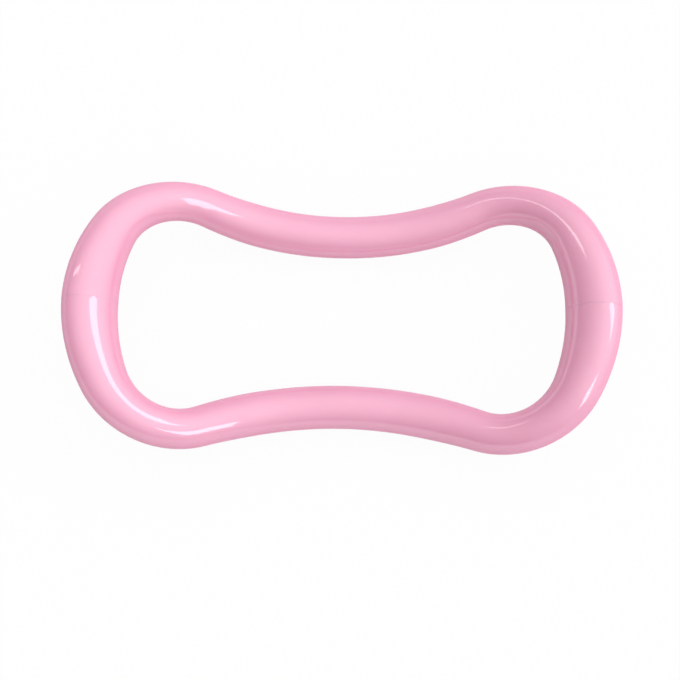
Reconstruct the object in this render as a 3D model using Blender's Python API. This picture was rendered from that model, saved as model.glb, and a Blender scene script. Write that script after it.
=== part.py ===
"""Yoga ring: two alike hollow half tubes that meet at the middle of each end, with a plug in each joint.

Metres, +Z up. X runs along the ring, Y across it and Z through its opening. The ring lies on its
two arms with both ends raised, and the origin is on the surface under the middle of the opening.
"""

from math import atan2, copysign, cos, pi, radians, sin, sqrt

import bmesh
import bpy
from mathutils import Matrix, Vector

MM = 0.001

# Centre line of the tube, seen from above
END_X = 105.0 * MM          # middle of the ring to the middle of each end
END_RADIUS = 79.5 * MM      # wide bend across each end
CROWN_Y = 50.7 * MM         # middle of the ring to the top of each of the four crowns
CROWN_RADIUS = 31.2 * MM    # tight bend at each crown
WAIST_DRAW = 12.2 * MM      # how far the waist is drawn in from the line of the crowns

# The ring is bowed along its length, round an axis across it
END_RISE = 27.5 * MM        # rise of the ends above the waist, on the centre line
BOW_POWER = 2.4             # 2 is an even bend; above it the middle is flatter and the ends steeper

# Oval section of the tube
END_WIDTH = 24.3 * MM       # broad pads at the ends
CROWN_WIDTH = 17.5 * MM     # narrowest at the crowns
ARM_WIDTH = 19.0 * MM       # along the two arms
ARM_EASE = 35.0 * MM        # distance past a crown in which the tube regains the arm's width
THICKNESS = 17.6 * MM       # square to the width, alike all the way round
WALL = 3.0 * MM

# Joint at the middle of each end
SEAM_GAP = 0.3 * MM         # hairline between the two half tubes
SEAM_BREAK = 0.4 * MM       # broken edge of each half tube at the seam
SOCKET_DEPTH = 16.0 * MM    # counterbore that takes half of the plug
SOCKET_WALL = 2.0 * MM      # wall left round the plug
PLUG_CLEARANCE = 0.3 * MM   # plug to socket, at the rib tops and at each shoulder
PLUG_WALL = 2.0 * MM        # under the ribs
RIB_HEIGHT = 0.5 * MM
LEAD_IN = 2.0 * MM          # length of the taper at each tip of the plug
LEAD_IN_DROP = 0.7 * MM     # how far the tips are drawn in by it

# Fineness of the faceted surface
TUBE_SIDES = 24
TUBE_STEP = 5.0 * MM        # spacing of the sections along the outside
BORE_STEP = 7.0 * MM
JOINT_STEP = 5.0 * MM       # along the sockets and the plug
RIB_PATTERN = (0, 0, 1, 1)  # two points in the groove, then two on the rib
SHARP_ANGLE = radians(32.0)

PINK = (0.91, 0.46, 0.62, 1.0)
NATURAL_WHITE = (0.80, 0.78, 0.74, 1.0)


class Arc:
    """Stretch of a circle, walked from its start angle to its end angle."""

    def __init__(self, centre, radius, start, end):
        self.centre = Vector(centre)
        self.radius = radius
        self.start = start
        self.turn = 1.0 if end > start else -1.0
        self.length = radius * abs(end - start)

    def at(self, distance):
        """Point and direction of travel at a distance from the arc's start."""
        angle = self.start + self.turn * distance / self.radius
        outward = Vector((cos(angle), sin(angle)))
        along = Vector((-outward.y, outward.x)) * self.turn
        return self.centre + outward * self.radius, along


def quarter_arcs():
    """The end, crown and waist arcs of one quarter of the ring, each tangent to the next."""
    end_centre = Vector((END_X - END_RADIUS, 0.0))
    reach = END_RADIUS - CROWN_RADIUS
    crown_y = CROWN_Y - CROWN_RADIUS
    crown_centre = Vector((end_centre.x + sqrt(reach**2 - crown_y**2), crown_y))

    waist_y = CROWN_Y - WAIST_DRAW
    drop = waist_y - crown_y
    waist_radius = (crown_centre.x**2 + drop**2 - CROWN_RADIUS**2) / (2 * (CROWN_RADIUS - drop))
    waist_centre = Vector((0.0, waist_y + waist_radius))

    to_crown = crown_centre - end_centre
    end_stop = atan2(to_crown.y, to_crown.x)
    to_waist = waist_centre - crown_centre
    crown_stop = atan2(to_waist.y, to_waist.x)
    return (
        Arc(end_centre, END_RADIUS, 0.0, end_stop),
        Arc(crown_centre, CROWN_RADIUS, end_stop, crown_stop),
        Arc(waist_centre, waist_radius, crown_stop - pi, -pi / 2),
    )


ARCS = quarter_arcs()
QUARTER = sum(arc.length for arc in ARCS)
CROWN_AT = ARCS[0].length + CROWN_RADIUS * (pi / 2 - ARCS[1].start)

# Half width of the section at stations along a quarter, from the seam to the waist
WIDTH_STATIONS = (
    (0.0, END_WIDTH / 2),
    (CROWN_AT, CROWN_WIDTH / 2),
    (min(CROWN_AT + ARM_EASE, QUARTER), ARM_WIDTH / 2),
)


def quarter_point(distance):
    """Centre-line point and direction at a distance from the seam, within one quarter."""
    for arc in ARCS[:-1]:
        if distance <= arc.length:
            return arc.at(distance)
        distance -= arc.length
    return ARCS[-1].at(distance)


def centre_line(distance):
    """Centre-line point and direction, from the right-hand seam over the arm to the left-hand one.

    A distance below zero is on the other side of the right-hand seam.
    """
    if distance < 0:
        point, along = quarter_point(-distance)
        return Vector((point.x, -point.y)), Vector((-along.x, along.y))
    if distance > QUARTER:
        point, along = quarter_point(2 * QUARTER - distance)
        return Vector((-point.x, point.y)), Vector((along.x, -along.y))
    return quarter_point(distance)


def half_width(distance):
    """Half width of the tube, eased from each station to the next."""
    from_seam = min(abs(distance), 2 * QUARTER - abs(distance))
    for (start, here), (stop, there) in zip(WIDTH_STATIONS, WIDTH_STATIONS[1:]):
        if from_seam < stop:
            share = (1 - cos(pi * (from_seam - start) / (stop - start))) / 2
            return here + (there - here) * share
    return WIDTH_STATIONS[-1][1]


def bow(x):
    """Rise of the bowed ring above its middle, and its slope, at a place along its length."""
    share = abs(x) / END_X
    slope = BOW_POWER * END_RISE / END_X * share ** (BOW_POWER - 1)
    return END_RISE * share**BOW_POWER, copysign(slope, x)


def section(distance, insets):
    """Points of the oval section at a distance along the ring, one for each inset from its outside."""
    flat, along = centre_line(distance)
    height, slope = bow(flat.x)
    centre = Vector((flat.x, flat.y, height + THICKNESS / 2))
    forward = Vector((along.x, along.y, slope * along.x)).normalized()
    normal = Vector((-slope, 0.0, 1.0)).normalized()
    side = forward.cross(normal)

    points = []
    for index, inset in enumerate(insets):
        angle = 2 * pi * index / len(insets)
        across = (half_width(distance) - inset) * cos(angle)
        up = (THICKNESS / 2 - inset) * sin(angle)
        points.append(centre + side * across + normal * up)
    return points


def spread(start, stop, step):
    """Evenly spaced distances from start to stop, in an even number of steps no longer than asked."""
    count = 2 * max(1, round(abs(stop - start) / (2 * step)))
    return [start + (stop - start) * index / count for index in range(count + 1)]


def loft(name, rings):
    """Closed shell of four-sided faces through rings of points, the last ring joined to the first."""
    bm = bmesh.new()
    loops = [[bm.verts.new(point) for point in ring] for ring in rings]
    for here, there in zip(loops, loops[1:] + loops[:1]):
        for index in range(len(here)):
            bm.faces.new((here[index - 1], here[index], there[index], there[index - 1]))
    bmesh.ops.recalc_face_normals(bm, faces=bm.faces)
    mesh = bpy.data.meshes.new(name)
    bm.to_mesh(mesh)
    bm.free()
    mesh.shade_smooth()
    mesh.set_sharp_from_angle(angle=SHARP_ANGLE)
    return mesh


def half_tube_mesh():
    """Half of the ring: the outside from seam to seam, then back along the bore and its two sockets."""
    first = SEAM_GAP / 2
    last = 2 * QUARTER - first
    shoulder = first + SOCKET_DEPTH

    outside = [(first, SEAM_BREAK)]
    outside += [(distance, 0.0) for distance in spread(first + SEAM_BREAK, last - SEAM_BREAK, TUBE_STEP)]
    outside += [(last, SEAM_BREAK)]

    left_socket = [(distance, SOCKET_WALL) for distance in spread(last, 2 * QUARTER - shoulder, JOINT_STEP)]
    bore = [(distance, WALL) for distance in spread(2 * QUARTER - shoulder, shoulder, BORE_STEP)]
    right_socket = [(distance, SOCKET_WALL) for distance in spread(shoulder, first, JOINT_STEP)]

    stations = outside + left_socket + bore + right_socket
    return loft("half_tube", [section(at, [inset] * TUBE_SIDES) for at, inset in stations])


def joint_plug_mesh():
    """Hollow plug that follows the bend of the end: crush ribs outside and a lead-in at each tip."""
    tip = SEAM_GAP / 2 + SOCKET_DEPTH - PLUG_CLEARANCE
    rib_top = SOCKET_WALL + PLUG_CLEARANCE
    groove = rib_top + RIB_HEIGHT
    bore = groove + PLUG_WALL
    ribbed = [groove - RIB_HEIGHT * on_rib for on_rib in RIB_PATTERN * (TUBE_SIDES // 2)]
    sides = len(ribbed)
    tip_inset = [groove + LEAD_IN_DROP] * sides

    rings = [section(-tip, tip_inset)]
    rings += [section(at, ribbed) for at in spread(LEAD_IN - tip, tip - LEAD_IN, JOINT_STEP)]
    rings += [section(tip, tip_inset)]
    rings += [section(at, [bore] * sides) for at in spread(tip, -tip, JOINT_STEP)]
    return loft("joint_plug", rings)


def plastic(name, colour, roughness, coat):
    """Plain moulded plastic, with a clear gloss where the coat is above zero."""
    material = bpy.data.materials.new(name)
    material.use_nodes = True
    shader = material.node_tree.nodes["Principled BSDF"]
    shader.inputs["Base Color"].default_value = colour
    shader.inputs["Metallic"].default_value = 0.0
    shader.inputs["Roughness"].default_value = roughness
    shader.inputs["Coat Weight"].default_value = coat
    material.diffuse_color = colour
    return material


def place(name, mesh, turn):
    """Object of the mesh, turned about the vertical axis through the middle of the ring."""
    piece = bpy.data.objects.new(name, mesh)
    piece.matrix_world = Matrix.Rotation(turn, 4, "Z")
    bpy.context.collection.objects.link(piece)


def main():
    for old in list(bpy.data.objects):
        bpy.data.objects.remove(old, do_unlink=True)

    half_tube = half_tube_mesh()
    half_tube.materials.append(plastic("pink_gloss_plastic", PINK, roughness=0.22, coat=0.5))
    place("back_half_tube", half_tube, 0.0)
    place("front_half_tube", half_tube, pi)

    joint_plug = joint_plug_mesh()
    joint_plug.materials.append(plastic("natural_plug_plastic", NATURAL_WHITE, roughness=0.5, coat=0.0))
    place("right_joint_plug", joint_plug, 0.0)
    place("left_joint_plug", joint_plug, pi)


main()
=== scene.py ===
"""Yoga ring: glossy light pink loop of oval tube, lying on its two arms on a white floor.

Metres, +Z up. X runs along the ring, Y across it and Z through its opening. The two half tubes are
drawn finely over the solid ones and take their places; the two joint plugs inside stay as they are.
"""

from math import atan2, cos, pi, radians, sin, sqrt

import bmesh
import bpy
from mathutils import Matrix, Vector


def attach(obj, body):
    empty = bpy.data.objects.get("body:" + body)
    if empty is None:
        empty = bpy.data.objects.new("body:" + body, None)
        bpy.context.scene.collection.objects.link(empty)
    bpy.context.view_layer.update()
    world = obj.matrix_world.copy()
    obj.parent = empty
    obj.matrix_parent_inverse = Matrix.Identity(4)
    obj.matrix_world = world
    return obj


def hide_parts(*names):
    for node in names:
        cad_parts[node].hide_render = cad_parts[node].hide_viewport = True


MM = 0.001

# Centre line of the tube, seen from above
END_X = 105.0 * MM          # middle of the ring to the middle of each end
END_RADIUS = 79.5 * MM      # wide bend across each end
CROWN_Y = 50.7 * MM         # middle of the ring to the top of each of the four crowns
CROWN_RADIUS = 31.2 * MM    # tight bend at each crown
WAIST_DRAW = 12.2 * MM      # how far the waist is drawn in from the line of the crowns
END_RISE = 27.5 * MM        # rise of the ends above the waist, on the centre line
BOW_POWER = 2.4             # 2 is an even bend; above it the middle is flatter and the ends steeper

# Oval section of the tube
END_WIDTH = 24.3 * MM
CROWN_WIDTH = 17.5 * MM
ARM_WIDTH = 19.0 * MM
ARM_EASE = 35.0 * MM        # distance past a crown in which the tube regains the arm's width
THICKNESS = 17.6 * MM
WALL = 3.0 * MM
SKIN = 0.08 * MM            # at the seam, the drawn outside lies this far inside the solid's

# Joint at the middle of each end
SEAM_GAP = 0.01 * MM        # hairline that shows between the two half tubes
LIP_RADIUS = 0.03 * MM      # rounded edge of each half tube at the seam
SEAM_SWELL = 0.12 * MM      # the tube is this much fuller at the seam than along the ring
SWELL_REACH = 6.0 * MM
SOCKET_DEPTH = 16.0 * MM
SOCKET_WALL = 2.0 * MM

# Fineness of the drawn surface
TUBE_SIDES = 72
TUBE_STEP = 1.6 * MM
LIP_STEPS = 4
SHARP_ANGLE = radians(38.0)
WELD_DISTANCE = 0.001 * MM

# Camera, from the outline of the ring in the photograph
CAMERA_AT = Vector((11.843, -127.698, 503.398)) * MM
CAMERA_BACK = Vector((0.02447, -0.23408, 0.97191))
CAMERA_UP = Vector((-0.01514, 0.97200, 0.23448))
CAMERA_LENS = 61.50         # millimetres, as the frame's width is
CAMERA_FRAME = 36.0

# Each finish runs between two tints
RING_PINKS = ((0.81, 0.336, 0.494, 1.0), (0.83, 0.351, 0.514, 1.0))
PLUG_WHITES = ((0.76, 0.74, 0.69, 1.0), (0.82, 0.80, 0.76, 1.0))
FLOOR_WHITES = ((0.78, 0.78, 0.78, 1.0), (0.81, 0.81, 0.81, 1.0))
WHITE = (1.0, 1.0, 1.0, 1.0)

# Each roughness runs between two values, and the flow marks are drawn out along the tube or plug
RING_ROUGHNESS = (0.26, 0.34)
PLUG_ROUGHNESS = (0.42, 0.55)
RING_FLOW = (1.0, 1.0, 0.12)
PLUG_FLOW = (1.0, 0.2, 1.0)

FLOOR_HALF = 4.0            # metres from the middle of the floor to each of its sides
FLOOR_DROP = 0.1 * MM       # gap between the floor and the level that the ring rests on
FLOOR_GLOW = 0.95           # share of plain white in the floor as it is seen; the rest shows the shadow

# Room light: brightest one way, falling off all round it, with an even part that comes from everywhere
ROOM_LIGHT_WAY = (0.57, 0.144, 0.809)
ROOM_LIGHT_WRAP = 0.554     # how far it reaches past a right angle to that way, as a cosine
ROOM_LIGHT_GAIN = 0.66
ROOM_LIGHT_EVEN = 0.25
HORIZON_FADE = (0.12, 0.26)     # heights between which the white past the floor's edge fades out

# Strip lamps: bearing and size as they would be 1 m up, turn in radians, brightness, and halves lit
LAMP_HEIGHT = 3.0           # metres
STRIP_LAMPS = (
    ("right_strip", (0.91, 0.26), (0.65, 0.54), -0.68, 2.15, ("front",)),
    ("front_strip", (0.75, -0.81), (0.34, 0.70), 0.42, 2.8, ("front",)),
    ("back_strip", (0.38, -0.26), (0.46, 0.72), -0.1, 2.3, ("back",)),
    ("far_strip", (-0.80, 0.66), (0.70, 0.10), -0.25, 2.0, ("back", "front")),
)


def quarter_arcs():
    """Centre, radius, start angle and stop angle of the end, crown and waist arcs of a quarter."""
    end_centre = Vector((END_X - END_RADIUS, 0.0))
    reach = END_RADIUS - CROWN_RADIUS
    crown_y = CROWN_Y - CROWN_RADIUS
    crown_centre = Vector((end_centre.x + sqrt(reach**2 - crown_y**2), crown_y))

    waist_y = CROWN_Y - WAIST_DRAW
    drop = waist_y - crown_y
    waist_radius = (crown_centre.x**2 + drop**2 - CROWN_RADIUS**2) / (2 * (CROWN_RADIUS - drop))
    waist_centre = Vector((0.0, waist_y + waist_radius))

    to_crown = crown_centre - end_centre
    end_stop = atan2(to_crown.y, to_crown.x)
    to_waist = waist_centre - crown_centre
    crown_stop = atan2(to_waist.y, to_waist.x)
    return (
        (end_centre, END_RADIUS, 0.0, end_stop),
        (crown_centre, CROWN_RADIUS, end_stop, crown_stop),
        (waist_centre, waist_radius, crown_stop - pi, -pi / 2),
    )


ARCS = quarter_arcs()
ARC_LENGTHS = [radius * abs(stop - start) for _, radius, start, stop in ARCS]
QUARTER = sum(ARC_LENGTHS)
CROWN_AT = ARC_LENGTHS[0] + CROWN_RADIUS * (pi / 2 - ARCS[1][2])
ARC_PLACES = ("End", "Crown", "Waist")


class Sheet:
    """Node tree that is laid out from left to right as its nodes are made."""

    COLUMN_WIDTH = 190
    ROW_HEIGHT = 160
    ROWS = 5

    def __init__(self, tree):
        self.tree = tree
        self.column = 0

    def node(self, kind, **settings):
        made = self.tree.nodes.new(kind)
        made.location = (self.column * self.COLUMN_WIDTH, -(self.column % self.ROWS) * self.ROW_HEIGHT)
        self.column += 1
        for name, value in settings.items():
            setattr(made, name, value)
        return made

    def feed(self, socket, value):
        """Links another node's output to the socket, or sets the socket to a plain value."""
        if isinstance(value, bpy.types.NodeSocket):
            self.tree.links.new(value, socket)
        else:
            socket.default_value = value

    def math(self, operation, *values):
        made = self.node("ShaderNodeMath", operation=operation)
        for socket, value in zip(made.inputs, values):
            self.feed(socket, value)
        return made.outputs[0]

    def vector(self, operation, *values):
        made = self.node("ShaderNodeVectorMath", operation=operation)
        for socket, value in zip(made.inputs, values):
            self.feed(socket, value)
        return made.outputs[0]

    def scaled(self, vector, factor):
        made = self.node("ShaderNodeVectorMath", operation="SCALE")
        self.feed(made.inputs[0], vector)
        self.feed(made.inputs["Scale"], factor)
        return made.outputs[0]

    def parts(self, vector):
        made = self.node("ShaderNodeSeparateXYZ")
        self.feed(made.inputs[0], vector)
        return made.outputs

    def joined(self, x, y, z):
        made = self.node("ShaderNodeCombineXYZ")
        for socket, value in zip(made.inputs, (x, y, z)):
            self.feed(socket, value)
        return made.outputs[0]

    def pick(self, test, if_false, if_true):
        made = self.node("GeometryNodeSwitch", input_type="VECTOR")
        self.feed(made.inputs[0], test)
        self.feed(made.inputs[1], if_false)
        self.feed(made.inputs[2], if_true)
        return made.outputs[0]

    def below(self, value, limit):
        made = self.node("FunctionNodeCompare", data_type="FLOAT", operation="LESS_EQUAL")
        self.feed(made.inputs[0], value)
        self.feed(made.inputs[1], limit)
        return made.outputs[0]


def new_group(name, inputs, outputs):
    """Geometry node group with named sockets, its sheet, and the sockets that give its inputs."""
    group = bpy.data.node_groups.new(name, "GeometryNodeTree")
    for label, kind in inputs:
        group.interface.new_socket(label, in_out="INPUT", socket_type="NodeSocket" + kind)
    for label, kind in outputs:
        group.interface.new_socket(label, in_out="OUTPUT", socket_type="NodeSocket" + kind)
    sheet = Sheet(group)
    given = sheet.node("NodeGroupInput").outputs
    return group, sheet, given


def arc_sockets():
    """Names and kinds of the sockets that describe the centre line's arcs."""
    sockets = [("Quarter Length", "Float")]
    for place in ARC_PLACES:
        sockets += [(f"{place} Centre", "Vector"), (f"{place} Radius", "Float"), (f"{place} Start", "Float")]
        sockets += [(f"{place} Turn", "Float"), (f"{place} Length", "Float")]
    return sockets


def arc_walk_group():
    """Point and direction at a distance along one arc."""
    inputs = [("Distance", "Float"), ("Centre", "Vector"), ("Radius", "Float")]
    inputs += [("Start", "Float"), ("Turn", "Float")]
    outputs = [("Point", "Vector"), ("Direction", "Vector")]
    group, sheet, given = new_group("arc_walk", inputs, outputs)
    swept = sheet.math("DIVIDE", sheet.math("MULTIPLY", given["Distance"], given["Turn"]), given["Radius"])
    angle = sheet.math("ADD", given["Start"], swept)
    east = sheet.math("COSINE", angle)
    north = sheet.math("SINE", angle)
    outward = sheet.joined(east, north, 0.0)
    sideways = sheet.joined(sheet.math("MULTIPLY", north, -1.0), east, 0.0)
    point = sheet.vector("ADD", given["Centre"], sheet.scaled(outward, given["Radius"]))
    end = sheet.node("NodeGroupOutput")
    sheet.feed(end.inputs["Point"], point)
    sheet.feed(end.inputs["Direction"], sheet.scaled(sideways, given["Turn"]))
    return group


def centre_line_group():
    """Point, direction and distance from the nearest seam, at a distance from the right-hand seam."""
    arc_walk = arc_walk_group()
    inputs = [("Distance", "Float"), *arc_sockets()]
    outputs = [("Point", "Vector"), ("Direction", "Vector"), ("From Seam", "Float")]
    group, sheet, given = new_group("ring_centre_line", inputs, outputs)

    past = sheet.math("SUBTRACT", given["Distance"], given["Quarter Length"])
    from_seam = sheet.math("SUBTRACT", given["Quarter Length"], sheet.math("ABSOLUTE", past))
    walked = from_seam
    steps = []
    for place in ARC_PLACES:
        step = sheet.node("GeometryNodeGroup", node_tree=arc_walk)
        sheet.feed(step.inputs["Distance"], walked)
        for size in ("Centre", "Radius", "Start", "Turn"):
            sheet.feed(step.inputs[size], given[f"{place} {size}"])
        steps.append((step, sheet.below(walked, given[f"{place} Length"])))
        walked = sheet.math("SUBTRACT", walked, given[f"{place} Length"])

    end = sheet.node("NodeGroupOutput")
    on_left = sheet.math("GREATER_THAN", past, 0.0)
    flip = sheet.math("MULTIPLY_ADD", on_left, -2.0, 1.0)
    for label, mirror in (("Point", (flip, 1.0, 1.0)), ("Direction", (1.0, flip, 1.0))):
        found = steps[2][0].outputs[label]
        for step, within in (steps[1], steps[0]):
            found = sheet.pick(within, found, step.outputs[label])
        sheet.feed(end.inputs[label], sheet.vector("MULTIPLY", found, sheet.joined(*mirror)))
    sheet.feed(end.inputs["From Seam"], from_seam)
    return group


def eased_step(sheet, value, start, length):
    """Share from 0 to 1 that eases in and out over a length."""
    share = sheet.math("DIVIDE", sheet.math("SUBTRACT", value, start), length)
    held = sheet.math("MINIMUM", sheet.math("MAXIMUM", share, 0.0), 1.0)
    swing = sheet.math("COSINE", sheet.math("MULTIPLY", held, pi))
    return sheet.math("MULTIPLY_ADD", swing, -0.5, 0.5)


def half_tube_group():
    """Tree that wraps the outline of a wall round the oval section, all along half of the ring.

    The outline is a closed wire: X is the distance from the right-hand seam, and Y the depth below
    the tube's outside.
    """
    centre_line = centre_line_group()
    inputs = [("Geometry", "Geometry"), ("Material", "Material"), ("Sides", "Int"), ("Step", "Float")]
    inputs += [(label, "Float") for label in ("End Width", "Crown Width", "Arm Width", "Thickness")]
    inputs += [(label, "Float") for label in ("Crown Distance", "Arm Ease", "End Reach", "End Rise")]
    inputs += [(label, "Float") for label in ("Bow Power", "Seam Swell", "Swell Reach", "Half Turn")]
    passed = arc_sockets()
    group, sheet, given = new_group("half_tube", inputs + passed, [("Geometry", "Geometry")])

    # The wall's outline as a fine curve, with its corners kept
    outline = sheet.node("GeometryNodeMeshToCurve")
    sheet.feed(outline.inputs["Mesh"], given["Geometry"])
    place = sheet.node("GeometryNodeInputPosition").outputs[0]
    following = sheet.node("GeometryNodeOffsetPointInCurve")
    sheet.feed(following.inputs["Offset"], 1)
    next_place = sheet.node("GeometryNodeFieldAtIndex", data_type="FLOAT_VECTOR")
    sheet.feed(next_place.inputs["Index"], following.outputs["Point Index"])
    sheet.feed(next_place.inputs["Value"], place)
    span = sheet.node("ShaderNodeVectorMath", operation="DISTANCE")
    sheet.feed(span.inputs[0], place)
    sheet.feed(span.inputs[1], next_place.outputs[0])
    cuts = sheet.math("FLOOR", sheet.math("DIVIDE", span.outputs["Value"], given["Step"]))
    fine = sheet.node("GeometryNodeSubdivideCurve")
    sheet.feed(fine.inputs["Curve"], outline.outputs[0])
    sheet.feed(fine.inputs["Cuts"], cuts)
    wall = sheet.node("GeometryNodeCaptureAttribute")
    wall.capture_items.new("VECTOR", "Wall")
    sheet.feed(wall.inputs["Geometry"], fine.outputs[0])
    sheet.feed(wall.inputs["Wall"], place)

    # One unit circle round each of its points
    circle = sheet.node("GeometryNodeCurvePrimitiveCircle")
    sheet.feed(circle.inputs["Resolution"], given["Sides"])
    round_place = sheet.node("GeometryNodeCaptureAttribute")
    round_place.capture_items.new("VECTOR", "Round")
    sheet.feed(round_place.inputs["Geometry"], circle.outputs["Curve"])
    sheet.feed(round_place.inputs["Round"], place)
    shell = sheet.node("GeometryNodeCurveToMesh")
    sheet.feed(shell.inputs["Curve"], wall.outputs["Geometry"])
    sheet.feed(shell.inputs["Profile Curve"], round_place.outputs["Geometry"])

    # Place of each point: on the bowed centre line, then out across and up by the oval section
    distance, depth, _ = sheet.parts(wall.outputs["Wall"])
    across, up, _ = sheet.parts(round_place.outputs["Round"])
    line = sheet.node("GeometryNodeGroup", node_tree=centre_line)
    sheet.feed(line.inputs["Distance"], distance)
    for label, _ in passed:
        sheet.feed(line.inputs[label], given[label])
    x, y, _ = sheet.parts(line.outputs["Point"])
    along_x, along_y, _ = sheet.parts(line.outputs["Direction"])
    reach = sheet.math("DIVIDE", sheet.math("ABSOLUTE", x), given["End Reach"])
    rise = sheet.math("MULTIPLY", given["End Rise"], sheet.math("POWER", reach, given["Bow Power"]))
    powered_rise = sheet.math("MULTIPLY", given["Bow Power"], given["End Rise"])
    steepest = sheet.math("DIVIDE", powered_rise, given["End Reach"])
    steepness = sheet.math("POWER", reach, sheet.math("SUBTRACT", given["Bow Power"], 1.0))
    slope = sheet.math("MULTIPLY", sheet.math("MULTIPLY", steepest, steepness), sheet.math("SIGN", x))
    half_thick = sheet.math("MULTIPLY", given["Thickness"], 0.5)
    centre = sheet.joined(x, y, sheet.math("ADD", rise, half_thick))
    along_z = sheet.math("MULTIPLY", slope, along_x)
    forward = sheet.vector("NORMALIZE", sheet.joined(along_x, along_y, along_z))
    normal = sheet.vector("NORMALIZE", sheet.joined(sheet.math("MULTIPLY", slope, -1.0), 0.0, 1.0))
    side = sheet.vector("CROSS_PRODUCT", forward, normal)

    to_crown = eased_step(sheet, line.outputs["From Seam"], 0.0, given["Crown Distance"])
    to_arm = eased_step(sheet, line.outputs["From Seam"], given["Crown Distance"], given["Arm Ease"])
    narrowing = sheet.math("SUBTRACT", given["Crown Width"], given["End Width"])
    widening = sheet.math("SUBTRACT", given["Arm Width"], given["Crown Width"])
    width = sheet.math("MULTIPLY_ADD", to_crown, narrowing, given["End Width"])
    width = sheet.math("MULTIPLY_ADD", to_arm, widening, width)

    # The swell at the seam: away from it, the wall lies deeper by the swell's height
    from_seam = sheet.math("DIVIDE", line.outputs["From Seam"], given["Swell Reach"])
    faded = sheet.math("SUBTRACT", 1.0, sheet.math("EXPONENT", sheet.math("MULTIPLY", from_seam, -1.0)))
    depth = sheet.math("MULTIPLY_ADD", given["Seam Swell"], faded, depth)
    half_wide = sheet.math("SUBTRACT", sheet.math("MULTIPLY", width, 0.5), depth)
    half_high = sheet.math("SUBTRACT", half_thick, depth)
    reach_across = sheet.math("MULTIPLY", half_wide, across)
    reach_up = sheet.math("MULTIPLY", half_high, up)
    spot = sheet.vector("ADD", centre, sheet.scaled(side, reach_across))
    spot = sheet.vector("ADD", spot, sheet.scaled(normal, reach_up))

    set_place = sheet.node("GeometryNodeSetPosition")
    sheet.feed(set_place.inputs["Geometry"], shell.outputs[0])
    sheet.feed(set_place.inputs["Position"], spot)
    unrolled = sheet.node("GeometryNodeStoreNamedAttribute", data_type="FLOAT_VECTOR", domain="POINT")
    sheet.feed(unrolled.inputs["Geometry"], set_place.outputs[0])
    sheet.feed(unrolled.inputs["Name"], "unrolled")
    sheet.feed(unrolled.inputs["Value"], sheet.joined(reach_across, reach_up, distance))
    turned = sheet.node("GeometryNodeTransform")
    sheet.feed(turned.inputs["Geometry"], unrolled.outputs[0])
    sheet.feed(turned.inputs["Rotation"], sheet.joined(0.0, 0.0, given["Half Turn"]))
    welded = sheet.node("GeometryNodeMergeByDistance")
    sheet.feed(welded.inputs["Geometry"], turned.outputs[0])
    sheet.feed(welded.inputs["Distance"], WELD_DISTANCE)
    smooth = sheet.node("GeometryNodeSetShadeSmooth")
    sheet.feed(smooth.inputs[0], welded.outputs[0])
    real = sheet.node("GeometryNodeRealizeInstances")
    sheet.feed(real.inputs[0], smooth.outputs[0])
    finish = sheet.node("GeometryNodeSetMaterial")
    sheet.feed(finish.inputs["Geometry"], real.outputs[0])
    sheet.feed(finish.inputs["Material"], given["Material"])
    end = sheet.node("NodeGroupOutput")
    sheet.feed(end.inputs["Geometry"], finish.outputs[0])
    return group


def wall_outline():
    """Corners of the half tube's wall, as (distance from the right-hand seam, depth) pairs."""
    first = SEAM_GAP / 2
    last = 2 * QUARTER - first
    shoulder = first + SOCKET_DEPTH
    right_lip = []
    left_lip = []
    for step in range(LIP_STEPS + 1):
        angle = pi / 2 * step / LIP_STEPS
        inward = LIP_RADIUS * (1 - sin(angle))
        down = SKIN + LIP_RADIUS * (1 - cos(angle))
        right_lip.insert(0, (first + inward, down))
        left_lip.append((last - inward, down))
    bore = [(last, SOCKET_WALL), (2 * QUARTER - shoulder, SOCKET_WALL), (2 * QUARTER - shoulder, WALL)]
    bore += [(shoulder, WALL), (shoulder, SOCKET_WALL), (first, SOCKET_WALL)]
    return right_lip + left_lip + bore


def tube_sizes(material, half_turn):
    """Values of the half tube tree's named inputs."""
    sizes = {
        "Material": material,
        "Sides": TUBE_SIDES,
        "Step": TUBE_STEP,
        "End Width": END_WIDTH,
        "Crown Width": CROWN_WIDTH,
        "Arm Width": ARM_WIDTH,
        "Thickness": THICKNESS,
        "Crown Distance": CROWN_AT,
        "Arm Ease": ARM_EASE,
        "End Reach": END_X,
        "End Rise": END_RISE,
        "Bow Power": BOW_POWER,
        "Seam Swell": SEAM_SWELL,
        "Swell Reach": SWELL_REACH,
        "Half Turn": half_turn,
        "Quarter Length": QUARTER,
    }
    for place, arc, length in zip(ARC_PLACES, ARCS, ARC_LENGTHS):
        centre, radius, start, stop = arc
        sizes[f"{place} Centre"] = (centre.x, centre.y, 0.0)
        sizes[f"{place} Radius"] = radius
        sizes[f"{place} Start"] = start
        sizes[f"{place} Turn"] = 1.0 if stop > start else -1.0
        sizes[f"{place} Length"] = length
    return sizes


def wire(name, corners):
    """Closed wire through the corners."""
    mesh = bpy.data.meshes.new(name)
    edges = [(index, (index + 1) % len(corners)) for index in range(len(corners))]
    mesh.from_pydata([(x, y, 0.0) for x, y in corners], edges, [])
    piece = bpy.data.objects.new(name, mesh)
    bpy.context.scene.collection.objects.link(piece)
    return piece


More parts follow.
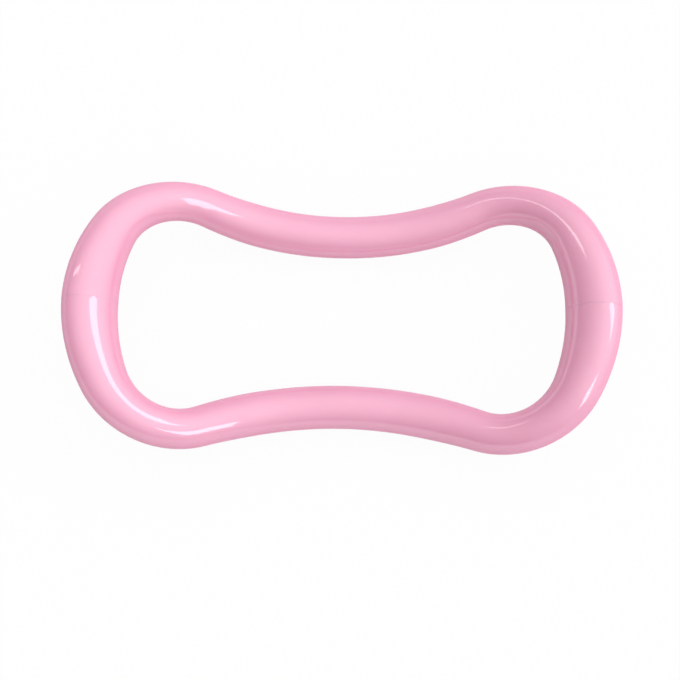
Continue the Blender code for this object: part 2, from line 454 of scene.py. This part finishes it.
def settle(piece, group, sizes):
    """Runs the tree on the piece with these sizes, and keeps the result as a plain closed mesh."""
    modifier = piece.modifiers.new(group.name, "NODES")
    modifier.node_group = group
    for item in group.interface.items_tree:
        if item.in_out == "INPUT" and item.name in sizes:
            modifier[item.identifier] = sizes[item.name]
    wrapped = piece.evaluated_get(bpy.context.evaluated_depsgraph_get())
    mesh = bpy.data.meshes.new_from_object(wrapped)
    piece.modifiers.remove(modifier)
    piece.data = mesh
    mesh.name = piece.name
    bm = bmesh.new()
    bm.from_mesh(mesh)
    bmesh.ops.recalc_face_normals(bm, faces=bm.faces)
    bm.to_mesh(mesh)
    bm.free()
    mesh.set_sharp_from_angle(angle=SHARP_ANGLE)


def new_material(name):
    """Material, its sheet and its shader."""
    material = bpy.data.materials.new(name)
    material.use_nodes = True
    nodes = material.node_tree.nodes
    return material, Sheet(material.node_tree), nodes["Principled BSDF"]


def noise(sheet, place, scale, detail=2.0):
    """Noise from 0 to 1, with this many waves to the metre."""
    made = sheet.node("ShaderNodeTexNoise")
    sheet.feed(made.inputs["Vector"], place)
    sheet.feed(made.inputs["Scale"], scale)
    sheet.feed(made.inputs["Detail"], detail)
    return made.outputs["Fac"]


def spread_over(sheet, value, start, stop, first, last):
    """First up to the start, last from the stop on, and evenly from one to the other between them."""
    made = sheet.node("ShaderNodeMapRange")
    sheet.feed(made.inputs["Value"], value)
    sheet.feed(made.inputs["From Min"], start)
    sheet.feed(made.inputs["From Max"], stop)
    sheet.feed(made.inputs["To Min"], first)
    sheet.feed(made.inputs["To Max"], last)
    return made.outputs["Result"]


def between(sheet, value, low, high):
    """Noise, most of which lies from 0.3 to 0.7, spread from low to high."""
    return spread_over(sheet, value, 0.3, 0.7, low, high)


def tinted(sheet, value, dark, light):
    """Colour from dark to light, by a value from 0 to 1."""
    made = sheet.node("ShaderNodeMix", data_type="RGBA")
    sheet.feed(made.inputs[0], value)
    sheet.feed(made.inputs[6], dark)
    sheet.feed(made.inputs[7], light)
    return made.outputs[2]


def bump(sheet, height, depth, under=None):
    """Normal of a surface raised by up to the depth, on top of another normal if one is given."""
    made = sheet.node("ShaderNodeBump")
    sheet.feed(made.inputs["Height"], height)
    sheet.feed(made.inputs["Strength"], 1.0)
    sheet.feed(made.inputs["Distance"], depth)
    if under:
        sheet.feed(made.inputs["Normal"], under)
    return made.outputs["Normal"]


def seen_or_mirrored(sheet):
    """1 for what the eye sees straight, off gloss or through glass, and 0 for light that falls on things."""
    rays = sheet.node("ShaderNodeLightPath").outputs
    mirrored = sheet.math("MAXIMUM", rays["Is Glossy Ray"], rays["Is Transmission Ray"])
    return sheet.math("MAXIMUM", rays["Is Camera Ray"], mirrored)


def ring_plastic():
    """Glossy light pink moulded plastic: cloudy tint, faint flow along the tube, fine orange peel."""
    material, sheet, shader = new_material("glossy_pink_plastic")
    place = sheet.node("ShaderNodeTexCoord").outputs["Object"]
    unrolled = sheet.node("ShaderNodeAttribute", attribute_name="unrolled").outputs["Vector"]
    drawn_out = sheet.vector("MULTIPLY", unrolled, RING_FLOW)

    cloud = noise(sheet, place, scale=45.0)
    sheet.feed(shader.inputs["Base Color"], tinted(sheet, between(sheet, cloud, 0.0, 1.0), *RING_PINKS))
    flow = noise(sheet, drawn_out, scale=260.0)
    sheet.feed(shader.inputs["Roughness"], between(sheet, flow, *RING_ROUGHNESS))

    ripple = bump(sheet, noise(sheet, drawn_out, scale=120.0, detail=1.0), depth=0.02 * MM)
    peel = bump(sheet, noise(sheet, place, scale=420.0, detail=1.0), depth=0.004 * MM, under=ripple)
    sheet.feed(shader.inputs["Normal"], peel)
    sheet.feed(shader.inputs["Coat Normal"], peel)

    # The gloss fades out where the surface is seen edge-on
    edge_on = sheet.node("ShaderNodeLayerWeight").outputs["Facing"]
    gloss = spread_over(sheet, edge_on, start=0.25, stop=0.70, first=1.0, last=0.03)
    sheet.feed(shader.inputs["Coat Weight"], gloss)
    shader.inputs["IOR"].default_value = 1.5
    shader.inputs["Specular IOR Level"].default_value = 0.05
    shader.inputs["Coat IOR"].default_value = 2.05
    shader.inputs["Coat Roughness"].default_value = 0.07
    shader.inputs["Subsurface Weight"].default_value = 0.25
    shader.inputs["Subsurface Radius"].default_value = (1.0, 0.5, 0.6)
    shader.inputs["Subsurface Scale"].default_value = 2.0 * MM
    return material


def plug_plastic():
    """Unpainted moulded plastic of the hidden plugs: off-white, satin, with faint flow marks."""
    material, sheet, shader = new_material("natural_plug_plastic")
    place = sheet.node("ShaderNodeTexCoord").outputs["Object"]
    drawn_out = sheet.vector("MULTIPLY", place, PLUG_FLOW)
    flow = noise(sheet, drawn_out, scale=300.0)
    sheet.feed(shader.inputs["Base Color"], tinted(sheet, between(sheet, flow, 0.0, 1.0), *PLUG_WHITES))
    sheet.feed(shader.inputs["Roughness"], between(sheet, flow, *PLUG_ROUGHNESS))
    sheet.feed(shader.inputs["Normal"], bump(sheet, noise(sheet, place, scale=900.0), depth=0.01 * MM))
    return material


def build_ring():
    """Draws the two half tubes, finishes the plugs inside them, and gives the drawn halves by name."""
    plastic = ring_plastic()
    group = half_tube_group()
    halves = {}
    for half, half_turn in (("back", 0.0), ("front", pi)):
        piece = wire(f"{half}_half_shell", wall_outline())
        settle(piece, group, tube_sizes(plastic, half_turn))
        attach(piece, "root")
        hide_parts(f"{half}_half_tube")
        halves[half] = piece
    plug_finish = plug_plastic()
    for node in ("left_joint_plug", "right_joint_plug"):
        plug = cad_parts[node]
        plug.data.materials.clear()
        plug.data.materials.append(plug_finish)
    return halves


def white_floor():
    """Wide white floor, whose own colour keeps part of the ring's shadow."""
    mesh = bpy.data.meshes.new("floor")
    corners = [(-FLOOR_HALF, -FLOOR_HALF, 0.0), (FLOOR_HALF, -FLOOR_HALF, 0.0)]
    corners += [(FLOOR_HALF, FLOOR_HALF, 0.0), (-FLOOR_HALF, FLOOR_HALF, 0.0)]
    mesh.from_pydata(corners, [], [(0, 1, 2, 3)])
    floor = bpy.data.objects.new("floor", mesh)
    bpy.context.scene.collection.objects.link(floor)
    floor.location.z = -FLOOR_DROP

    material, sheet, shader = new_material("white_floor")
    grain = noise(sheet, sheet.node("ShaderNodeTexCoord").outputs["Object"], scale=30.0)
    sheet.feed(shader.inputs["Base Color"], tinted(sheet, grain, *FLOOR_WHITES))
    shader.inputs["Roughness"].default_value = 0.9
    shader.inputs["Specular IOR Level"].default_value = 0.1
    white = sheet.node("ShaderNodeEmission")
    sheet.feed(white.inputs["Color"], WHITE)
    sheet.feed(white.inputs["Strength"], 1.0)
    mix = sheet.node("ShaderNodeMixShader")
    sheet.feed(mix.inputs[0], sheet.math("MULTIPLY", seen_or_mirrored(sheet), FLOOR_GLOW))
    sheet.feed(mix.inputs[1], shader.outputs[0])
    sheet.feed(mix.inputs[2], white.outputs[0])
    sheet.feed(material.node_tree.nodes["Material Output"].inputs["Surface"], mix.outputs[0])
    mesh.materials.append(material)


def strip_lamp(name, bearing, size, turn, brightness, halves):
    """Lamp that faces down and gives these halves of the ring a highlight, and nothing else light.

    The highlights in the photograph stop at the seams, perhaps because the real halves sit at slightly
    different angles. These halves are in line, so a lamp that lights one of them only does the same.
    """
    lamp = bpy.data.lights.new(name, "AREA")
    lamp.shape = "RECTANGLE"
    lamp.size = size[0] * LAMP_HEIGHT
    lamp.size_y = size[1] * LAMP_HEIGHT
    lamp.energy = brightness * pi * lamp.size * lamp.size_y
    held = bpy.data.objects.new(name, lamp)
    held.location = (bearing[0] * LAMP_HEIGHT, bearing[1] * LAMP_HEIGHT, LAMP_HEIGHT)
    held.rotation_euler = (0.0, 0.0, turn)
    held.visible_diffuse = False
    lit = bpy.data.collections.new(f"lit_by_{name}")
    for half in halves:
        lit.objects.link(half)
    held.light_linking.receiver_collection = lit
    bpy.context.scene.collection.objects.link(held)


def studio_light(halves):
    """Room light for the shading, and strip lamps for the highlights."""
    world = bpy.data.worlds.new("studio")
    bpy.context.scene.world = world
    world.use_nodes = True
    sheet = Sheet(world.node_tree)
    background = world.node_tree.nodes["Background"]
    background.inputs["Color"].default_value = WHITE
    direction = sheet.node("ShaderNodeTexCoord").outputs["Generated"]
    bright_way = sheet.node("ShaderNodeVectorMath", operation="DOT_PRODUCT")
    sheet.feed(bright_way.inputs[0], direction)
    sheet.feed(bright_way.inputs[1], ROOM_LIGHT_WAY)
    share = sheet.math("MAXIMUM", sheet.math("ADD", bright_way.outputs["Value"], ROOM_LIGHT_WRAP), 0.0)
    light = sheet.math("MULTIPLY_ADD", sheet.math("POWER", share, 2.0), ROOM_LIGHT_GAIN, ROOM_LIGHT_EVEN)

    # Plain white where it is seen past the floor's edge, which fades out a little way up
    near_floor = spread_over(sheet, sheet.parts(direction)[2], *HORIZON_FADE, 1.0, 0.0)
    white = sheet.math("MULTIPLY", seen_or_mirrored(sheet), near_floor)
    strength = sheet.math("MULTIPLY_ADD", sheet.math("SUBTRACT", 1.0, light), white, light)
    sheet.feed(background.inputs["Strength"], strength)

    for name, bearing, size, turn, brightness, lit in STRIP_LAMPS:
        strip_lamp(name, bearing, size, turn, brightness, [halves[half] for half in lit])


def place_camera():
    lens = bpy.data.cameras.new("camera")
    lens.lens = CAMERA_LENS
    lens.sensor_width = CAMERA_FRAME
    lens.sensor_fit = "HORIZONTAL"
    lens.clip_start = 0.01
    camera = bpy.data.objects.new("camera", lens)
    right = CAMERA_UP.cross(CAMERA_BACK)
    axes = Matrix((right, CAMERA_UP, CAMERA_BACK)).transposed()
    camera.matrix_world = Matrix.Translation(CAMERA_AT) @ axes.to_4x4()
    bpy.context.scene.collection.objects.link(camera)
    bpy.context.scene.camera = camera


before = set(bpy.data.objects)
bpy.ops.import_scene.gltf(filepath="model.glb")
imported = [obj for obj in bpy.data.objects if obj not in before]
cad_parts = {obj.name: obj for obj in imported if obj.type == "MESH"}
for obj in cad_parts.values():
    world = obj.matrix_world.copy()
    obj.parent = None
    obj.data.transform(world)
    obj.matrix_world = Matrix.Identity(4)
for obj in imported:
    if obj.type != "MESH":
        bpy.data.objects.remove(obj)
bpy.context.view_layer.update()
place_camera()
white_floor()
studio_light(build_ring())
bpy.context.scene.view_settings.view_transform = "Standard"
